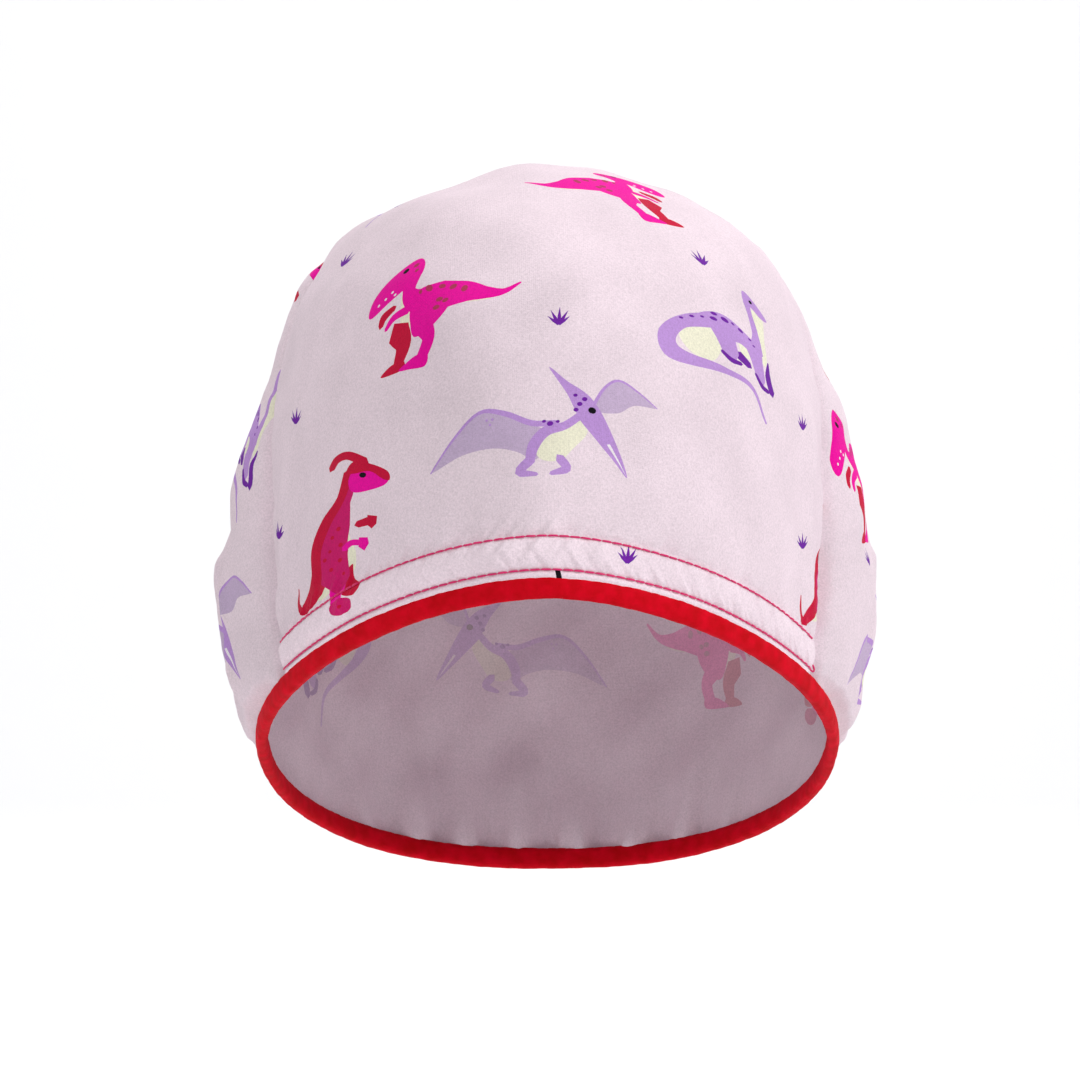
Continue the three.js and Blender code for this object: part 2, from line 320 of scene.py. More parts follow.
def glider():
    """A crested flying reptile, wings up, its long bill pointing down to the right."""
    shapes = [
        ("pale_lilac", blob((-28.6, -7.6), (-22.0, -0.4), (-15.4, 4.2), (-9.0, 3.2), (-2.0, 0.2),
                            (0.6, -2.6),
                            (-1.6, -8.6), (-6.4, -6.2), (-12.0, -4.6), (-20.0, -5.0))),
        ("pale_lilac", blob((12.0, 5.0), (14.6, 10.8), (18.4, 13.6), (24.0, 11.6), (28.6, 9.2),
                            (22.4, 8.2),
                            (18.0, 5.2))),
        ("lilac", limb([(-28.8, -7.8), (-22.0, -0.2), (-15.4, 4.6), (-9.0, 3.4), (-2.6, 0.6),
                        (3.0, 0.6)],
                       [0.4, 0.7, 0.9, 1.3, 1.5, 1.5])),
        ("lilac", limb([(11.6, 5.4), (14.6, 10.9), (18.4, 13.7), (23.8, 12.0), (28.8, 9.2)],
                       [0.9, 0.7, 0.6, 0.5, 0.3])),
        ("cream", blob((8.8, 1.6), (10.4, -1.2), (7.0, -5.6), (3.8, -8.8), (-0.6, -8.6),
                       (-1.6, -5.2), (2.4, -0.8))),
        ("lilac", limb([(9.2, 3.4), (5.0, 0.0), (0.6, -1.6), (-2.2, -5.0),
                        (-3.2, -9.0)], [1.8, 2.0, 2.6, 2.8, 2.2])),
        ("lilac", limb([(-2.8, -8.4), (-5.6, -11.4), (-1.6, -12.2)], [2.4, 2.2, 0.9])),
        ("lilac", limb([(3.8, -8.2), (5.4, -10.6), (1.8, -12.0)], [2.2, 2.2, 1.0])),
        ("lilac", blob((1.4, 15.0), (5.6, 11.8), (10.6, 8.6), (14.2, 4.0), (17.6, -3.0),
                       (20.6, -11.0), (16.6, -7.0),
                       (12.0, -2.0), (8.8, 1.6), (7.0, 5.4), (5.4, 8.8))),
        ("white", corners((20.4, -10.8), (15.2, -3.4), (16.0, -3.2))),
        ("black", spot(11.6, 4.7, 2.0, 0.85)),
    ]
    for x, y, size in [(7.6, 8.2, 1.1), (9.8, 7.4, 1.4), (8.6, 6.0, 1.4), (7.7, 4.4, 1.3),
                       (1.6, 0.4, 1.6),
                       (3.4, 1.0, 1.0), (0.2, 1.0, 1.0)]:
        shapes.append(("violet", spot(x, y, size, 0.8, 20)))
    for x, y in [(-13.4, 2.4), (-12.0, 2.4), (-12.6, 1.2)]:
        shapes.append(("lilac", spot(x, y, 0.7, 1.0, 0, 6)))
    return shapes


def crester():
    """A crested plant eater that stands upright and faces right."""
    shapes = [
        ("cream", blob((3.2, 5.6), (3.2, 0.0), (4.6, -5.0), (3.8, -9.4), (0.6, -9.0), (0.6, 0.0))),
        ("cream", blob((-3.6, -12.0), (-1.8, -13.4), (-4.2, -15.6), (-7.0, -15.4))),
        ("crimson", limb([(5.4, 1.9), (8.6, 2.6)], [1.7, 2.2])),
        ("crimson", corners((7.8, 4.0), (9.9, 3.6), (9.6, 1.7), (8.5, 0.5), (7.5, 1.6))),
        ("crimson", blob((1.8, -9.6), (3.7, -7.8), (3.6, -11.2), (5.4, -13.2), (4.0, -15.8),
                         (1.0, -15.4), (0.6, -12.4))),
        ("crimson", limb([(-3.6, -8.6), (-6.0, -13.0), (-10.2, -17.4), (-12.3, -15.6),
                          (-12.7, -11.2)],
                         [5.0, 4.0, 2.6, 1.2, 0.4])),
        ("magenta", limb([(-0.4, -11.0), (-0.7, -17.4)], [4.2, 3.0])),
        ("berry", limb([(4.2, 12.6), (2.8, 8.0), (0.8, 3.2), (-1.6, -3.6), (-1.0, -11.2)],
                       [3.0, 2.6, 6.0, 8.8, 7.6])),
        ("crimson", limb([(4.0, 15.0), (1.8, 8.8), (-1.8, 3.4), (-4.9, -3.4), (-5.4, -9.6),
                          (-6.4, -13.4)],
                         [2.4, 1.9, 2.3, 2.5, 2.5, 3.0])),
        ("magenta", limb([(1.8, -3.8), (3.6, -2.5), (6.0, -2.8)], [1.4, 1.5, 1.5])),
        ("magenta", corners((5.5, -1.4), (7.5, -1.6), (7.7, -3.1), (6.6, -4.9), (5.3, -3.8))),
        ("berry", blob((-2.0, -17.4), (-1.9, -19.9), (0.8, -20.5), (3.0, -19.0), (3.1, -16.8),
                       (1.0, -16.2))),
        ("magenta", blob((4.0, 13.6), (4.3, 10.6), (6.6, 9.9), (11.6, 11.2), (13.0, 13.6),
                         (11.0, 15.9), (6.4, 17.0))),
        ("crimson", blob((3.4, 15.2), (5.2, 17.9), (9.0, 17.2), (12.6, 15.2), (13.1, 12.8),
                         (11.6, 13.0),
                         (8.8, 15.2), (5.4, 14.8))),
        ("crimson", limb([(-0.4, 17.2), (1.2, 19.2), (4.0, 19.7),
                          (7.6, 17.8)], [1.9, 2.1, 2.2, 2.4])),
        ("black", spot(7.2, 14.3, 1.6, 0.9)),
    ]
    for x, y, size in [(0.8, 1.4, 1.3), (-0.8, -0.6, 1.1), (1.0, -2.6, 1.3), (-1.6, -4.0, 1.0),
                       (-3.0, -6.0, 1.2),
                       (0.6, -6.4, 1.3), (-1.6, -8.6, 1.2), (1.2, -9.8, 1.0), (0.6, -18.4, 1.1)]:
        shapes.append(("crimson", spot(x, y, size, 0.75, 50)))
    return shapes


def tuft():
    """A small tuft of grass: pointed blades that spread from one root."""
    shapes = []
    for lean, tall in [(-40, 3.4), (-20, 4.5), (3, 5.0), (25, 4.4), (43, 3.2)]:
        c, s = math.cos(math.radians(lean)), math.sin(math.radians(lean))
        belly = tall * 0.45
        blade = np.array([(-0.3, 0), (-0.34, belly), (0, tall), (0.34, belly), (0.3, 0)])
        shapes.append(("violet", np.stack([blade @ (c, s), blade @ (-s, c) - 2.4], 1)))
    return shapes


def tick():
    """The cutter's mark at the middle of the hem."""
    return [("black", corners((-0.75, 1.5), (0.4, 1.6), (0.95, -1.5), (-0.25, -1.6)))]


MOTIFS = {
    "hunter": hunter,
    "browser": browser,
    "glider": glider,
    "crester": crester,
    "tuft": tuft,
    "tick": tick,
}


# Where each motif is printed: what it is, compass angle and angle above the horizon of its
# middle, its lean in degrees and its size, and -1 where it is turned to face the other way.
FRONT_PRINT = [
    ("hunter", -19.5, 46.2, -7, (1.19, 1.16), 1),
    ("browser", 32.6, 42.9, 11, (1.50, 1.10), 1),
    ("glider", -0.6, 29.8, 0, (1.08, 1.01), 1),
    ("crester", -38.6, 18.9, 0, (1.90, 1.02), 1),
    ("hunter", 21.0, 69.8, 10, (1.00, 1.45), -1),
    ("crester", 68.5, 14.6, -15, (1.30, 1.00), 1),
    ("browser", -84.0, 72.0, 24, (1.20, 1.25), 1),
    ("crester", 118.0, 82.0, 20, (1.20, 1.05), 1),
    ("tuft", -57.4, 58.6, 0, (1.60, 1.12), 1),
    ("tuft", 1.8, 43.2, 0, (1.34, 1.12), 1),
    ("tuft", 33.8, 55.2, 0, (1.50, 1.15), 1),
    ("tuft", -56.7, 37.8, 0, (1.60, 0.90), 1),
    ("tuft", -60.8, 21.0, 0, (1.60, 0.90), 1),
    ("tuft", 57.7, 37.0, 0, (1.60, 0.92), 1),
    ("tuft", 56.9, 19.6, 0, (1.60, 0.90), 1),
    ("tuft", 11.5, 14.1, 0, (1.36, 1.03), 1),
    ("tick", 1.5, 11.0, 0, (1.13, 0.90), 1),
]


def placed(direction, full):
    return CENTRE + direction * skin_distance(direction, full)[:, None]


def tangents(azimuth, elevation, full):
    """The skin's places in some directions, with the ways across and up the cloth there."""
    step = 0.4
    across = placed(pointing(azimuth + step, elevation), full)
    across = unit(across - placed(pointing(azimuth - step, elevation), full))
    up = placed(pointing(azimuth, elevation + step), full)
    up -= placed(pointing(azimuth, elevation - step), full)
    up = unit(up - across * (up * across).sum(1, keepdims=True))
    return placed(pointing(azimuth, elevation), full), across, up


def finely(outline, step=1.4):
    """The same outline with its long straight stretches cut up, so that they follow the cloth."""
    out = []
    for start, end in zip(outline, np.roll(outline, -1, 0)):
        count = max(1, math.ceil(np.linalg.norm(end - start) / step))
        out += [start + (end - start) * k / count for k in range(count)]
    return np.array(out)


def printed_shapes(placements, full):
    """Every printed outline of a panel, as (ink, directions from the centre)."""
    shapes = []
    for name, azimuth, elevation, lean, size, facing in placements:
        place, across, up = tangents(np.array([azimuth]), np.array([elevation]), full)
        c, s = math.cos(math.radians(lean)), math.sin(math.radians(lean))
        for ink, outline in MOTIFS[name]():
            flat = finely(outline * (size[0] * facing, size[1]))
            x = flat[:, 0] * c - flat[:, 1] * s
            y = flat[:, 0] * s + flat[:, 1] * c
            point = place + x[:, None] * across + y[:, None] * up - CENTRE
            shapes.append((ink, unit(point)))
    return shapes


def basis_towards(azimuth, elevation):
    """Ways across, up and out for a flat pattern whose middle lies in one direction."""
    out = pointing(np.array([azimuth]), np.array([elevation]))[0]
    across = np.array([math.cos(math.radians(azimuth)), math.sin(math.radians(azimuth)), 0.0])
    return np.stack([across, np.cross(out, across), out])


def flatten(direction, basis):
    """Directions laid flat about the basis's middle without shearing (a stereographic map)."""
    local = direction @ basis.T
    return 2 * local[:, :2] / (1 + local[:, 2:])


def unflatten(flat, basis):
    square = (flat**2).sum(1, keepdims=True)
    return np.hstack([4 * flat, 4 - square]) @ basis / (4 + square)


def enclosed(points, outline):
    """Which points an outline winds round."""
    inside = np.zeros(len(points), bool)
    near = ((points >= outline.min(0)) & (points <= outline.max(0))).all(1)
    x1, y1 = outline[:, 0], outline[:, 1]
    x2, y2 = np.roll(x1, -1), np.roll(y1, -1)
    for some in np.array_split(np.flatnonzero(near), near.sum() // 5000 + 1):
        x, y = points[some, 0][:, None], points[some, 1][:, None]
        side = (x2 - x1) * (y - y1) - (x - x1) * (y2 - y1)
        rising = (y1 <= y) & (y2 > y) & (side > 0)
        falling = (y1 > y) & (y2 <= y) & (side < 0)
        inside[some] = rising.sum(1) != falling.sum(1)
    return inside


def bisect(low, high, above, steps=44):
    """Where above(value) turns true, between low and high, for each entry."""
    for _ in range(steps):
        middle = (low + high) / 2
        over = above(middle)
        low, high = np.where(over, low, middle), np.where(over, middle, high)
    return (low + high) / 2


def hem_directions(azimuth, height, full):
    """Directions of the line that runs one height above the plane of the opening."""
    def over(elevation):
        return above_hem(placed(pointing(azimuth, elevation), full)) > height
    elevation = bisect(np.full(len(azimuth), -44.0), np.full(len(azimuth), 60.0), over)
    return pointing(azimuth, elevation)


def seam_points(angle, behind, full):
    """Points of the skin a set distance behind the seam. angle is 0 at the crown."""
    normal = np.array([0, 1, -SEAM_LEAN]) / math.hypot(1, SEAM_LEAN)
    rise = np.array([0, SEAM_LEAN, 1]) / math.hypot(1, SEAM_LEAN)
    start = CENTRE - normal * (behind_seam(CENTRE[None])[0] - behind)
    radian = np.radians(angle)
    way = np.sin(radian)[:, None] * np.array([1.0, 0, 0]) + np.cos(radian)[:, None] * rise

    def over(reach):
        offset = start + way * reach[:, None] - CENTRE
        far = np.linalg.norm(offset, axis=1)
        return far > skin_distance(offset / far[:, None], full)
    reach = bisect(np.full(len(angle), 10.0), np.full(len(angle), 220.0), over)
    return start + way * reach[:, None]


def seam_line(behind, edge_height, full, spacing):
    """The skin's points along one line beside the seam, from the left foot to the right."""
    ends = []
    for side in (-1, 1):
        def under(angle, side=side):
            return above_hem(seam_points(side * angle, behind, full)) < edge_height
        ends.append(side * bisect(np.array([60.0]), np.array([150.0]), under)[0])
    count = int((ends[1] - ends[0]) * math.radians(100) / spacing)
    return seam_points(np.linspace(ends[0], ends[1], count), behind, full)


def towards(points):
    """Directions of some points from the centre."""
    return unit(points - CENTRE)


COTTON = 0.4  # thickness of the cotton
PANEL_GAP = 0.3  # between the two panels at their seam
SEAM_STEP = 1.5  # spacing of the points along the seam
HEM_STEP = 0.8  # and along the hem
SEAM_ROWS = (0.5, 1.0, 1.6, 2.4, 3.4)  # rows of points beside the seam, where the cloth rolls in
CROWN_REACH = 165.0  # from the hem up to the crown, over the cloth


def panel_points(full, side, edge_height, rows, spacing):
    """Directions for a panel's cloth: its edge, and points spread evenly over the rest.

    side is -1 for the panel before the seam and 1 for the one behind it.
    """
    gap = side * PANEL_GAP / 2
    seam = towards(seam_line(gap, edge_height, full, SEAM_STEP))
    feet = bearings(seam[[0, -1]])[0]
    if side > 0:
        feet = np.array([feet[0] + 360, feet[1]])
    count = int(abs(feet[1] - feet[0]) * math.radians(FOLD_RADIUS) / HEM_STEP)
    hem = hem_directions(np.linspace(feet[0], feet[1], count)[1:-1], edge_height, full)
    edge = np.vstack([seam[::-1], hem])
    inner = [towards(seam_line(side * (PANEL_GAP / 2 + away), edge_height + 0.4, full, SEAM_STEP))
             for away in SEAM_ROWS]
    for index, along in enumerate(rows):
        closing_in = max(0.02, math.cos(math.radians(84 * along / CROWN_REACH)))
        width = FOLD_RADIUS * 2 * math.pi * closing_in
        count = max(6, int(width / max(spacing(along), HEM_STEP)))
        azimuth = (np.arange(count) + 0.5 * (index % 2)) * 360 / count - 180
        foot = bearings(hem_directions(azimuth, edge_height, full))[1]
        direction = pointing(azimuth, foot + (90 - foot) * along / CROWN_REACH)
        place = placed(direction, full)
        clear = side * behind_seam(place) > SEAM_ROWS[-1] + 0.7
        inner.append(direction[clear])
    return edge, np.vstack(inner)


def laid_out(name, data):
    """Puts a finished mesh, lamp or camera in the scene under its own name."""
    piece = bpy.data.objects.new(name, data)
    bpy.context.scene.collection.objects.link(piece)
    return piece


CROWDED = 0.0035  # points closer than this to a printed outline are left out, in flat units
MERGED = 2e-5  # and points closer than this become one
FLAT_STEP = 0.003  # how far to either side the cloth's slope is felt, in flat units
SHOWS_THROUGH = 0.42  # how much of the print shows on the wrong side
# Partly painted light: the hem's folded band is also painted brighter to make up for the shade on
# it, where it leans down over the forehead.
LAYER_AND_PAINTED_LIGHT_GAIN = 0.06  # less of the dark inside shows through for each layer of cloth more


def cloth_mesh(name, basis, edge, inner, shapes, skin, lining_depth):
    """One panel of printed cloth: a face, a wrong side and the thin edge between them."""
    edge_flat, inner_flat = flatten(edge, basis), flatten(inner, basis)
    outlines = [(ink, flatten(outline, basis)) for ink, outline in shapes]
    outlines = [(ink, o) for ink, o in outlines if enclosed(o, edge_flat).any()]
    rings = [edge_flat] + [o for _, o in outlines]
    links, start = [], 0
    for ring in rings:
        count = len(ring)
        links += [(start + k, start + (k + 1) % count) for k in range(count)]
        start += count
    drawn = np.vstack(rings)
    tree = KDTree(len(drawn))
    for index, (x, y) in enumerate(drawn):
        tree.insert((x, y, 0), index)
    tree.balance()
    apart = [tree.find((x, y, 0))[2] > CROWDED for x, y in inner_flat]
    every = np.vstack([drawn, inner_flat[np.array(apart)]])
    every = [tuple(point) for point in every]
    flat, _, faces, _, _, _ = delaunay_2d_cdt(every, links, [], 0, MERGED, False)
    flat, faces = np.array(flat), np.array(faces)
    middle = flat[faces].mean(1)
    faces = faces[enclosed(middle, edge_flat)]
    middle = flat[faces].mean(1)

    ink = np.tile(np.array(INKS["cloth"]), (len(faces), 1))
    for colour, outline in outlines:
        ink[enclosed(middle, outline)] = INKS[colour]
    layers = lining_depth(skin(unflatten(middle, basis))) / COTTON
    # Brightens the folded hem. Part of this is the real whiteness of more layers, and part is
    # painted light against the shade of its downward lean.
    ink *= (1 + LAYER_AND_PAINTED_LIGHT_GAIN * (layers - 1))[:, None]

    used, faces = np.unique(faces, return_inverse=True)
    flat, faces = flat[used], faces.reshape(-1, 3)
    place = skin(unflatten(flat, basis))
    ahead = skin(unflatten(flat + (FLAT_STEP, 0), basis))
    back = skin(unflatten(flat - (FLAT_STEP, 0), basis))
    over = skin(unflatten(flat + (0, FLAT_STEP), basis))
    under = skin(unflatten(flat - (0, FLAT_STEP), basis))
    normal = unit(np.cross(ahead - back, over - under))
    lining = place - normal * lining_depth(place)[:, None]

    directed = faces[:, [0, 1, 1, 2, 2, 0]].reshape(-1, 2)
    pairs = np.sort(directed, axis=1)
    _, first, count = np.unique(pairs, axis=0, return_index=True, return_counts=True)
    rim = directed[first[count == 1]]
    total = len(place)
    quads = np.stack([rim[:, 1], rim[:, 0], rim[:, 0] + total, rim[:, 1] + total], 1)

    mesh = bpy.data.meshes.new(name)
    loops = np.concatenate([faces.ravel(), (faces[:, ::-1] + total).ravel(), quads.ravel()])
    after_faces = 6 * len(faces) + np.arange(len(quads)) * 4
    starts = np.concatenate([np.arange(2 * len(faces)) * 3, after_faces])
    mesh.vertices.add(2 * total)
    mesh.vertices.foreach_set("co", (np.vstack([place, lining]) * MM).ravel())
    mesh.loops.add(len(loops))
    mesh.loops.foreach_set("vertex_index", loops.astype(np.int32))
    mesh.polygons.add(len(starts))
    mesh.polygons.foreach_set("loop_start", starts.astype(np.int32))
    mesh.update(calc_edges=True)
    mesh.validate()
    mesh.polygons.foreach_set("use_smooth", np.ones(len(starts), bool))

    wrong_side = ink * SHOWS_THROUGH + np.array(INKS["cloth"]) * (1 - SHOWS_THROUGH)
    plain = np.tile(np.array(INKS["cloth"]), (4 * len(quads), 1))
    colour = np.vstack([np.repeat(ink, 3, 0), np.repeat(wrong_side, 3, 0), plain])
    layer = mesh.color_attributes.new("ink", "FLOAT_COLOR", "CORNER")
    layer.data.foreach_set("color", np.hstack([colour, np.ones((len(colour), 1))]).ravel())
    weave = mesh.uv_layers.new(name="weave")
    threads = np.vstack([flat, flat])[loops] * FOLD_RADIUS * MM
    weave.data.foreach_set("uv", threads.ravel())
    mesh.normals_split_custom_set_from_vertices(np.vstack([normal, -normal]).tolist())
    return laid_out(name, mesh)


# The hem is folded under and held by two rows of topstitching, whose pull puckers it.
STITCH_ROWS = (3.75, 11.4)  # heights above the plane of the opening
STITCH = 2.8
HEM = {
    "layers": 0.5,  # how far the folded layers raise the face
    "puff": 1.0,  # between the rows
    "ridge": 0.45,  # between the lower row and the binding
    "pucker": 0.85,  # beside each row
    "pull": 0.5,  # along each row, where the thread sinks in
    "beyond": 1.0,  # unevenness above the upper row
}


def arch(along):
    """The hem rises to a faint point at the middle of the forehead."""
    return 0.25 + 0.85 * np.exp(-np.abs(along / 27) ** 1.6)


def row_height(along, row):
    """A row of stitching drifts a little as the cloth is fed under the needle."""
    return STITCH_ROWS[row] + arch(along) + 0.2 * ripple(along / 19, 3 + row)


def hem_relief(along, above):
    """How the hem's layers, stitches and puckers lift it. The binding holds its edge flat."""
    low, high = row_height(along, 0), row_height(along, 1)
    lift = HEM["layers"] * (1 - smoothstep(above, high + 0.1, high + 1.0))
    share = np.clip((above - low) / (high - low), 0, 1)
    lift += HEM["puff"] * np.sin(np.pi * share) ** 0.8 * (1 + 0.7 * ripple(along / 3.1, 2))
    lift += HEM["ridge"] * np.exp(-(((above - low + 1.1) / 0.65) ** 2))
    loose = smoothstep(above - low, -0.7, 0.7)
    for row, height in enumerate((low, high)):
        near = np.abs(above - height)
        slant = along + (above - height) * (0.7 - 1.4 * row)
        pucker = ripple(slant / 0.95, 5 + row) * np.exp(-near / 3.0) * (1 - np.exp(-near / 0.7))
        lift += HEM["pucker"] * pucker * loose
        pull = 0.8 + 0.2 * np.cos(2 * math.pi * along / STITCH)
        lift -= HEM["pull"] * np.exp(-((near / 0.6) ** 2)) * pull
    beyond = np.maximum(above - high, 0)
    uneven = ripple(along / 3.2, 9) * np.exp(-beyond / 6) * smoothstep(beyond, 0, 2)
    return lift + HEM["beyond"] * uneven


SEAM_DIP = 1.3
SEAM_PUCKER = 0.5


def seam_relief(place, away, fullness):
    """Both panels roll in to their seam, and its stitches draw them into small puckers."""
    round_seam = np.arctan2(place[:, 0], place[:, 2] - 20) * 95
    lift = -SEAM_DIP * np.exp(-((away / 1.2) ** 2))
    tug = 1 - np.exp(-away / 1.5)
    pucker = ripple((round_seam + 0.4 * away) / 1.6, 4) * np.exp(-away / 4.5)
    lift += SEAM_PUCKER * pucker * tug
    return lift + fullness * ripple(round_seam / 3.4, 6) * np.exp(-away / 11) * tug


# Long waves in the cloth: length, and the way that each one runs.
SLACK_WAYS = [
    (31, (0.8, 0.5, 0.3)),
    (23, (-0.4, 0.7, 0.6)),
    (38, (0.2, -0.6, 0.8)),
    (17, (0.7, 0.3, -0.7)),
]


def slack(place, seed):
    """Broad, faint unevenness in cloth that is held out but not stretched tight."""
    total = 0
    for k, (length, way) in enumerate(SLACK_WAYS):
        phase = place @ np.array(way) * 2 * math.pi / length + seed + 1.9 * k
        total = total + length * np.sin(phase)
    return total / 100


# Soft drags in the cloth beside the temples, as in FOLDS.
FRONT_FOLDS = [
    ((-63, 34), (-58, 92), 3.6, 1.1),
    ((-56, 26), (-51, 66), 3.6, -1.0),
    ((-46, 44), (-44, 60), 4.5, 0.5),
    ((52, 28), (56, 74), 4.0, -0.7),
    ((60, 30), (63, 84), 3.6, 0.8),
]


def front_skin(direction):
    place = placed(direction, False)
    along = np.radians(bearings(direction)[0]) * FOLD_RADIUS
    above = above_hem(place)
    away = np.maximum(-behind_seam(place) - PANEL_GAP / 2, 0)
    lift = hem_relief(along, above) * (1 - 0.7 * np.exp(-away / 2.5))
    lift += seam_relief(place, away, 0.3)
    lift += 1.1 * slack(place, 1.0) * smoothstep(above, 12, 40)
    for fold in FRONT_FOLDS:
        lift += fold_lift(bearings(direction)[0], place[:, 2], *fold) * smoothstep(above, 11, 20)
    return place + direction * lift[:, None]


HEM_THICKER = 1.6  # two more layers, pressed


def hem_depth(place):
    """Thickness of the cloth: one layer, and three where the hem is folded under."""
    return COTTON * (1 + HEM_THICKER * (1 - smoothstep(above_hem(place), 12.2, 13.2)))


def set_sockets(shader_node, values):
    for socket, value in values.items():
        shader_node.inputs[socket].default_value = value


def add_node(material, kind, values={}, **settings):
    """Adds a shader node with its settings, and with the values on its own sockets."""
    made = material.node_tree.nodes.new(kind)
    for key, value in settings.items():
        setattr(made, key, value)
    set_sockets(made, values)
    return made


def printed_cotton(name):
    """Printed plain-weave cotton: the print's colour, uneven ink, a grain and a soft sheen."""
    material = bpy.data.materials.new(name)
    material.use_nodes = True
    material.node_tree.nodes.clear()
    link = material.node_tree.links.new
    ink = add_node(material, "ShaderNodeAttribute", attribute_name="ink")
    weave = add_node(material, "ShaderNodeUVMap", uv_map="weave")
    surface = add_node(material, "ShaderNodeTexCoord")

    def mottle(values, low, high):
        """A cloudy noise, and the change of tone between low and high that it makes."""
        noise = add_node(material, "ShaderNodeTexNoise", values)
        link(surface.outputs["Object"], noise.inputs["Vector"])
        reach = {"From Min": 0.3, "From Max": 0.7, "To Min": low, "To Max": high}
        tone = add_node(material, "ShaderNodeMapRange", reach)
        link(noise.outputs["Fac"], tone.inputs["Value"])
        return noise.outputs["Fac"], tone.outputs["Result"]

    grain, grain_tone = mottle({"Scale": 1900, "Detail": 3, "Roughness": 0.7}, 0.84, 1.08)
    _, wash_tone = mottle({"Scale": 55, "Detail": 4}, 0.95, 1.04)
    tone = add_node(material, "ShaderNodeMath", operation="MULTIPLY")
    link(grain_tone, tone.inputs[0])
    link(wash_tone, tone.inputs[1])
    colour = add_node(material, "ShaderNodeVectorMath", operation="SCALE")
    link(ink.outputs["Color"], colour.inputs[0])
    link(tone.outputs["Value"], colour.inputs["Scale"])

    crossing = add_node(material, "ShaderNodeMath", operation="MAXIMUM")
    for index, direction in enumerate(("X", "Y")):
        thread = add_node(
            material, "ShaderNodeTexWave", {"Scale": 900, "Distortion": 1.5, "Detail Scale": 3},
            bands_direction=direction,
        )
        link(weave.outputs["UV"], thread.inputs["Vector"])
        link(thread.outputs["Fac"], crossing.inputs[index])
    nap = add_node(material, "ShaderNodeMath", {1: 0.35}, operation="MULTIPLY_ADD")
    link(crossing.outputs["Value"], nap.inputs[0])
    link(grain, nap.inputs[2])
    relief = add_node(material, "ShaderNodeBump", {"Strength": 0.5, "Distance": 0.00022})
    link(nap.outputs["Value"], relief.inputs["Height"])

    shader = add_node(material, "ShaderNodeBsdfPrincipled", {
        "Roughness": 0.88,
        "Specular IOR Level": 0.08,
        "Sheen Weight": 0.05,
        "Sheen Roughness": 0.5,
        "Sheen Tint": (1.0, 0.93, 0.97, 1.0),
    })
    link(colour.outputs["Vector"], shader.inputs["Base Color"])
    link(relief.outputs["Normal"], shader.inputs["Normal"])
    output = add_node(material, "ShaderNodeOutputMaterial")
    link(shader.outputs["BSDF"], output.inputs["Surface"])
    return material


cotton = printed_cotton("printed cotton")

EDGE_HEIGHT = 1.0  # the cloth's edge is held inside the binding, this far above its middle
FRONT_ROWS = np.concatenate([np.arange(0.6, 19.0, 0.55), np.arange(20.2, CROWN_REACH, 1.9)])
front_edge, front_inner = panel_points(
    False, -1, EDGE_HEIGHT, FRONT_ROWS, lambda along: 0.8 if along < 19 else 1.7
)
front_panel = cloth_mesh(
    "front_cloth", basis_towards(0, 35), front_edge, front_inner,
    printed_shapes(FRONT_PRINT, False), front_skin, hem_depth,
)
front_panel.data.materials.append(cotton)
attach(front_panel, "root")
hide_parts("front_panel")


# ---- Back panel ----
# A second, fuller piece of the same cotton. It is sewn to the front panel along the seam that
# climbs from each temple over the crown, swells over the ears and is gathered into the edge at
# the nape. Inside, the seam's raw edges are trimmed together and lie towards the back.

BACK_PRINT = [
    ("hunter", 90.3, 29.0, -6, (0.90, 1.30), 1),
    ("glider", 92.0, -1.5, 0, (1.05, 1.10), 1),
    ("browser", -90.0, 33.8, 12, (0.95, 1.40), 1),
    ("glider", -91.0, 1.0, 6, (1.05, 1.10), 1),
    ("tuft", 84.0, 15.5, 0, (1.20, 1.00), 1),
]
PRINT_SIZE = {"hunter": (1.10, 1.22), "browser": (1.20, 1.30), "glider": (1.05, 1.10),
              "crester": (1.30, 1.04), "tuft": (1.25, 1.05)}
# The print repeats over the rest of the panel in rows, each set half a space along from the last.
PRINT_ROWS = [
    (-2.0, ("crester", "hunter", "glider", "browser"), 122, 32, 1),
    (28.0, ("glider", "browser", "hunter", "crester", "glider"), 122, 29, -1),
    (53.0, ("crester", "glider", "browser", "hunter", "crester"), 104, 38, 1),
    (75.0, ("glider",), 196, 84, -1),
]
for level, names, start, space, facing in PRINT_ROWS:
    for count, name in enumerate(names):
        across = start + space * count
        BACK_PRINT.append((name, across, level, 6 * (-1) ** count, PRINT_SIZE[name], facing))
        if level < 70:
            BACK_PRINT.append(("tuft", across + space / 2, level + 11, 0, PRINT_SIZE["tuft"], 1))

GATHERS = {"count": 9, "spacing": 15, "lift": 2.6, "rise": 34}


def gather_lift(azimuth, above):
    """The nape's gathers: deep at the binding, dying out up the panel and towards the ears."""
    away = np.radians(turn(180, azimuth)) * FOLD_RADIUS
    reach = GATHERS["count"] * GATHERS["spacing"] / 2
    share = np.clip(np.abs(away) / reach, 0, 1)
    edge = np.sqrt(np.cos(math.pi / 2 * share))
    rise = np.exp(-np.maximum(above, 0) / GATHERS["rise"])
    rise *= 1 - np.exp(-np.maximum(above, 0) / SWELL["tuck"])
    wave = np.cos(2 * math.pi * (away + 1.6 * ripple(away / 9, 2)) / GATHERS["spacing"])
    fine = 0.22 * np.cos(2 * math.pi * away / 6.1 + 1) * np.exp(-np.maximum(above, 0) / 9)
    return GATHERS["lift"] * (wave + fine) * edge * rise


